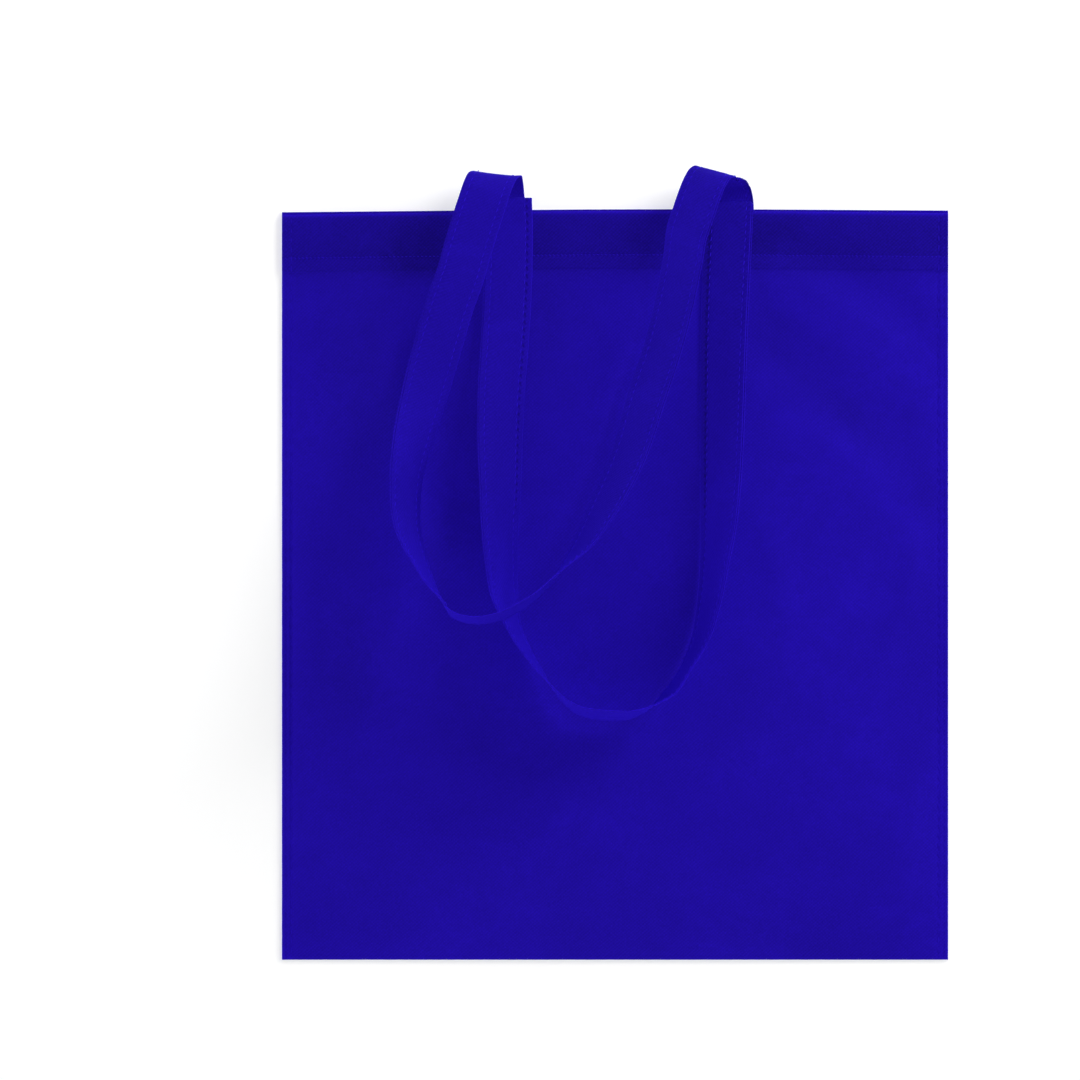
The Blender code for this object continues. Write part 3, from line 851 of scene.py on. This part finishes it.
# Inner edge, direction, width direction and upward normal all along a handle.
def strapFrames(v):
    rows, ways = smoothRoute(handleStops(v), strap["step"])
    along = ways / np.linalg.norm(ways, axis=1)[:, None]
    turn, lean = np.radians(rows[:, 3]), np.radians(rows[:, 4])
    over = np.stack([np.cos(lean) * np.cos(turn), np.cos(lean) * np.sin(turn), np.sin(lean)], axis=1)
    over -= (over * along).sum(axis=1)[:, None] * along
    over /= np.linalg.norm(over, axis=1)[:, None]
    up = np.cross(over, along)
    length = np.concatenate([[0.0], np.cumsum(np.linalg.norm(np.diff(rows[:, :3], axis=0), axis=1))])
    return rows[:, :3], along, over, up, length


# Half the strap's thickness, from the distance in from its inner edge and the place along it: full between
# the stitch rows, pinched at them, most at each needle hole, and swollen again in the folded edges.
def halfThickness(across, along=0.0):
    width, row = strap["width"], strap["edgeRow"]
    middle = np.sin(math.pi * np.clip((across - row) / (width - 2 * row), 0.0, 1.0)) ** 0.5
    pull = strap["rowPull"] + strap["holePull"] * np.cos(2 * math.pi * along / strap["stitchPitch"])
    rows = sum(np.exp(-((across - place) / strap["rowWidth"]) ** 2) for place in (row, width - row))
    return strap["edgeHalf"] + strap["middleHalf"] * middle - pull * rows


# Section of the folded tape, as places across from the inner edge and shares of the half thickness there,
# for the upper face and then the lower one. The outer edge is open, and its lower fold stands proud.
strapUpper = (np.array([0.0, 0.12, 0.3, 0.6, 1.2, 2.0, 2.8, 3.3, 3.7, 4.1, 4.6, 5.5, 7.0, 9.0, 11.0, 13.0,
                        15.0, 17.0, 19.0, 20.5, 21.4, 21.9, 22.3, 22.7, 23.2, 23.8, 24.3, 24.65, 24.9,
                        25.05, 24.8]) * mm,
              np.array([0.0, 0.55, 0.85, 0.98] + [1.0] * 23 + [0.95, 0.8, 0.35, -0.03]))
strapLower = (np.array([24.8, 25.3, 25.7, 25.9, 26.0, 25.85, 25.5, 24.6, 23.8, 23.2, 22.7, 22.3, 21.9, 21.4,
                        20.5, 19.0, 17.0, 15.0, 13.0, 11.0, 9.0, 7.0, 5.5, 4.6, 4.1, 3.7, 3.3, 2.8, 2.0,
                        1.2, 0.6, 0.3, 0.12]) * mm,
              np.array([-0.1, -0.12, -0.16, -0.28, -0.58, -0.88, -1.0] + [-1.0] * 23
                       + [-0.98, -0.85, -0.55]))


# Painted highlight and shade at a crisp edge: a narrow painted highlight at the inner fold, and at the open
# outer edge a painted highlight on each fold with a painted shadow line between them. The margin's painted
# shade is 1 out to the inner stitch row, where it peaks.
def strapEdgeLightShade(across):
    d = strap["width"] - across
    inner = np.exp(-across / (0.22 * mm))
    outer = (np.exp(-((d - 0.98 * mm) / (0.17 * mm)) ** 2) + 0.75 * np.exp(-((d / (0.22 * mm)) ** 2))
             - 0.9 * np.exp(-((d - 0.55 * mm) / (0.16 * mm)) ** 2))
    margin = 1.0 - smoothStep((across - strap["edgeRow"]) / (1.2 * mm))
    return inner, outer, margin + 0.6 * np.exp(-((across - strap["edgeRow"]) / (0.7 * mm)) ** 2)


# Painted shade and light along the strap: each spot adds amount * exp(-((place - middle) / reach)^2).
def strapPaintedShading(v, length):
    return sum(amount * np.exp(-((length - middle * mm) / (reach * mm)) ** 2)
               for middle, reach, amount in v["paintedShading"])


def makeStrap(name, v, material):
    edge, along, over, up, length = strapFrames(v)
    across = np.concatenate([strapUpper[0], strapLower[0]])
    share = np.concatenate([strapUpper[1], strapLower[1]])
    inside = np.minimum(across, strap["width"] - 0.6 * mm)
    height = halfThickness(inside[None, :], length[:, None]) * share[None, :]
    points = edge[:, None] + over[:, None] * across[None, :, None] + up[:, None] * height[..., None]
    section = np.column_stack([across, halfThickness(inside) * share])
    section = np.concatenate([section, section[:1]])
    girth = np.concatenate([[0.0], np.cumsum(np.linalg.norm(np.diff(section, axis=0), axis=1))])
    maps = np.stack(np.broadcast_arrays(girth[None, :], length[:, None]), axis=-1)
    fromEnd = np.minimum(length, length[-1] - length)[:, None]
    holeRow = (np.abs(across - strap["edgeRow"] + 0.7 * mm) + v["hideHoles"]
               + smoothStep((fromEnd - v["holesReach"]) / (20 * mm)) * mm)
    inner, outer, margin = strapEdgeLightShade(across)
    late = smoothStep((length / length[-1] - v["rimStart"]) / 0.06)[:, None]
    rightHalf = (length > length[-1] / 2)[:, None]
    margin = margin * rightHalf * (1.0 - smoothStep((fromEnd - v["marginReach"]) / (60 * mm)))
    # Painted highlights at the edges, a painted shadow line where leftRim is below 0, and painted shade on
    # the margin.
    outer = outer * (v["leftRim"] + (1.0 - v["leftRim"]) * late)
    marks = {"edges": inner + outer - v["marginShade"] * margin,
             "row": holeRow,
             # painted shade and light along the strap
             "tone": np.broadcast_to(strapPaintedShading(v, length)[:, None], height.shape)}
    mesh = gridMesh(name, points[:, ::-1], maps[:, ::-1], wrapped=True,
                    attributes={key: values[:, ::-1] for key, values in marks.items()})
    piece = addObject(name, mesh, material)
    closeEnds(mesh)
    print(name, len(mesh.vertices), "points,", round(float(length[-1]), 4), "m long")
    return piece, float(length[-1])


def closeEnds(mesh):
    bm = bmesh.new()
    bm.from_mesh(mesh)
    bmesh.ops.holes_fill(bm, edges=[e for e in bm.edges if e.is_boundary], sides=0)
    bmesh.ops.recalc_face_normals(bm, faces=bm.faces[:])
    bm.to_mesh(mesh)
    bm.free()


thread = {
    "radius": 0.26 * mm,
    "rings": 6,                 # in one stitch, and points round a ring
    "points": 6,
    "dive": 0.9,                # how many radii the ends sink
    "tip": 0.02,                # the end rings' radius, as a share
    "hemPitch": 2.15 * mm,
    "hemLength": 1.7 * mm,
    "hemWay": (0.9, -0.35, 0.0),
    "seamLengths": (4.1 * mm, 2.2 * mm),    # of the inner and the outer row of a side seam
    "boxWide": 18 * mm,         # the stitched box that holds each end of the back handle
    "boxTall": 16 * mm,
    "boxBelow": 5 * mm,         # from the mouth
    "boxAt": 48.9 * mm,         # the handle's inner edge, out from the middle of the bag
    "boxLength": 2.4 * mm,
    "boxPitch": 3.0 * mm,
}


# Short threads that dive at both ends: each is a ring of points swept along, with the radius and the height
# both sin(share * pi)^0.5, so that the ends close.
def stitches(name, middles, ways, ups, length, material):
    rings, around = thread["rings"], thread["points"]
    share = np.linspace(0.0, 1.0, rings)
    swell = np.maximum(np.sin(share * math.pi), 0.0) ** 0.5
    turn = np.linspace(0.0, 2 * math.pi, around + 1)[:-1]
    ways = ways / np.linalg.norm(ways, axis=1)[:, None]
    sides = np.cross(ways, ups)
    sides /= np.linalg.norm(sides, axis=1)[:, None]
    ups = np.cross(sides, ways)
    r = thread["radius"]
    centre = (middles[:, None] + ways[:, None] * ((share - 0.5) * length)[None, :, None]
              + ups[:, None] * (r * (swell - 1.0) * thread["dive"])[None, :, None])
    ring = (np.cos(turn)[None, :, None] * sides[:, None] + np.sin(turn)[None, :, None] * ups[:, None])
    points = centre[:, :, None] + ring[:, None] * (r * np.maximum(swell, thread["tip"]))[None, :, None, None]
    count = len(middles)
    base = np.arange(count)[:, None, None] * rings * around
    i, j = np.meshgrid(np.arange(rings - 1), np.arange(around), indexing="ij")
    k = (j + 1) % around
    quad = np.stack([i * around + j, (i + 1) * around + j, (i + 1) * around + k,
                     i * around + k], axis=-1).reshape(1, -1, 4)
    quads = (quad + base).reshape(-1, 4)
    start = np.arange(around)[None, :] + base[:, 0]
    end = start[:, ::-1] + (rings - 1) * around
    corners = np.concatenate([quads.ravel(), start.ravel(), end.ravel()])
    sizes = np.concatenate([np.full(len(quads), 4), np.full(2 * count, around)])
    print(name, count, "stitches")
    return addObject(name, rawMesh(name, points, corners, sizes), material)


def strapStitches(name, v, material):
    edge, along, over, up, length = strapFrames(v)
    pitch = strap["stitchPitch"]
    at = np.arange(2.5 * pitch, length[-1] - pitch, pitch)

    def pick(values):
        return np.stack([np.interp(at, length, values[:, k]) for k in range(3)], axis=1)

    middles, ways, ups = [], [], []
    height = float(halfThickness(np.array(strap["edgeRow"])))
    for a in (strap["edgeRow"] + strap["innerRowOff"], strap["width"] - strap["edgeRow"]):
        for face, proud in strap["threadProud"].items():
            middles.append(pick(edge) + pick(over) * a + pick(up) * face * (height + proud))
            ways.append(pick(along) + strap["stitchSlant"] * pick(over))
            ups.append(pick(up) * face)
    return stitches(name, np.concatenate(middles), np.concatenate(ways), np.concatenate(ups),
                    strap["stitchLength"], material)


def panelNormals(x, y):
    step = 0.2 * mm
    dx = (frontTop(x + step, y) - frontTop(x - step, y)) / (2 * step)
    dy = (frontTop(x, y + step) - frontTop(x, y - step)) / (2 * step)
    normals = np.stack([-dx, -dy, np.ones_like(dx)], axis=1)
    return normals / np.linalg.norm(normals, axis=1)[:, None]


# The stitches of the hem, the side seams and the handle ends, on the front panel's outside and again under
# the back panel. A handle end's box is four rows round a rectangle and two across it.
def bagStitches(material):
    half = bag["width"] / 2
    made = []

    def sew(name, x, y, way, length, faces=(1, -1)):
        y = y + mouthShift(x, y)
        way = np.broadcast_to(way, (len(x), 3))
        top = np.column_stack([x, y, frontTop(x, y)])
        under = np.column_stack([x, y, np.zeros_like(x)])
        down = np.broadcast_to((0.0, 0.0, -1.0), (len(x), 3))
        parts = [(top, panelNormals(x, y)) if face > 0 else (under, down) for face in faces]
        places, ups = (np.concatenate(side) for side in zip(*parts))
        made.append(stitches(name, places, np.concatenate([way] * len(faces)), ups, length, material))

    hemX = np.arange(-half + 5 * mm, half - 4 * mm, thread["hemPitch"])
    hemY = np.full_like(hemX, mouthY - bag["hemStitch"])
    sew("hem_thread", hemX, hemY, thread["hemWay"], thread["hemLength"])
    seamY = np.arange(foldY + 5 * mm, mouthY - 3 * mm, bag["seamPitch"])
    for side, label in ((-1, "left"), (1, "right")):
        for row, length, kind in zip(bag["seamRows"], thread["seamLengths"], ("seam", "edge")):
            sew(f"{label}_{kind}_thread", np.full_like(seamY, side * (half - row)), seamY,
                (0.0, 1.0, 0.0) if kind == "seam" else (0.5 * side, 1.0, 0.0), length)

    wide, tall = thread["boxWide"], thread["boxTall"]
    corners = np.array([(0, 0), (wide, 0), (wide, -tall), (0, -tall), (0, 0), (wide, -tall), (0, -tall),
                        (wide, 0)])
    for side, label in ((-1, "left"), (1, "right")):
        start = side * (thread["boxAt"] + strap["width"] / 2) - wide / 2
        places, ways = [], []
        for k in (0, 1, 2, 3, 4, 6):
            a, b = corners[k], corners[k + 1]
            count = round(float(np.hypot(*(b - a))) / thread["boxPitch"])
            share = (np.arange(count) + 0.5)[:, None] / count
            places.append(a + (b - a) * share)
            ways.append(np.broadcast_to((*(b - a), 0.0), (count, 3)))
        places = np.concatenate(places)
        sew(f"{label}_box_thread", start + places[:, 0], mouthY - thread["boxBelow"] + places[:, 1],
            np.concatenate(ways), thread["boxLength"], faces=(-1,))
    return made


table = {
    "half": 3.0,
    "below": 0.1 * mm,          # how far it lies under the bag
    "albedo": (0.8, 0.8, 0.8, 1.0),
    "glow": 0.08,               # seen by the camera only, to keep the ground white
}


def makeTable(v):
    half = v["half"]
    mesh = bpy.data.meshes.new("table")
    corners = [(-half, -half, 0), (half, -half, 0), (half, half, 0), (-half, half, 0)]
    mesh.from_pydata(corners, [], [(0, 1, 2, 3)])
    material = bpy.data.materials.new("table")
    material.use_nodes = True
    tree = material.node_tree
    shader = tree.nodes["Principled BSDF"]
    seen = seenRays(tree)
    colour = mixColour(tree, seen, v["albedo"], (1.0, 1.0, 1.0, 1.0))
    tree.links.new(colour, shader.inputs["Base Color"])
    shader.inputs["Emission Color"].default_value = (1.0, 1.0, 1.0, 1.0)
    tree.links.new(mathNode(tree, "MULTIPLY", seen, v["glow"]), shader.inputs["Emission Strength"])
    shader.inputs["Roughness"].default_value = 1.0
    shader.inputs["Specular IOR Level"].default_value = 0.0
    piece = addObject("table", mesh, material)
    piece.location.z = -v["below"]


panelFinish = {
    "Cloth Colour": (0.0137, 0.0031, 0.366, 1.0),
    "Dot Pitch": 2.12 * mm, "Dot Stretch": 0.93, "Dot Lean": -0.3, "Dot Shade": 0.23,
    "Cloud Shade": 0.24, "Wisp Light": 0.06, "Layer Shade": 0.22, "Edge Highlight": 0.3,
    "holePitch": 0.0,           # no needle holes
    "bumpDepth": 0.05 * mm,
    "Specular IOR Level": 0.03,
    "Sheen Weight": 0.25, "Sheen Roughness": 0.4, "Sheen Tint": (0.016, 0.004, 0.5, 1.0),
}
strapFinish = {
    **panelFinish, "Cloth Colour": (0.0134, 0.0031, 0.357, 1.0),
    "Dot Pitch": 1.97 * mm, "Dot Stretch": 1.06, "Dot Lean": 0.4, "Dot Shade": 0.22,
    "Cloud Shade": 0.16, "Edge Highlight": 0.5, "holePitch": strap["stitchPitch"], "holeWidth": 0.8 * mm,
}
threadFinish = {**panelFinish, "Cloth Colour": (0.0155, 0.0037, 0.40, 1.0), "Dot Shade": 0.0}
strapThreadFinish = {**threadFinish, "Cloth Colour": (0.0195, 0.0046, 0.50, 1.0)}

makeLight(light)
makeTable(table)
nonWoven = makeNonWoven(weave)
needleHoles = makeNeedleHoles(holeShape)
panelCloth = makeClothMaterial("panelCloth", nonWoven, needleHoles, panelFinish)
strapCloth = makeClothMaterial("strapCloth", nonWoven, needleHoles, strapFinish)
sewingThread = makeClothMaterial("sewingThread", nonWoven, needleHoles, threadFinish)
strapThread = makeClothMaterial("strapThread", nonWoven, needleHoles, strapThreadFinish)

bagPiece, clothLength = makeBag(panelCloth)
frontPiece, frontLength = makeStrap("front_strap", frontHandle, strapCloth)
backPiece, backLength = makeStrap("back_strap", backHandle, strapCloth)
frontThread = strapStitches("front_strap_thread", frontHandle, strapThread)
backThread = strapStitches("back_strap_thread", backHandle, strapThread)
bagThreads = bagStitches(sewingThread)

for piece in (bagPiece, frontPiece, backPiece, frontThread, backThread, *bagThreads):
    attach(piece, "root")
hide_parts("bag_body")
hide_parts("front_handle")
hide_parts("back_handle")
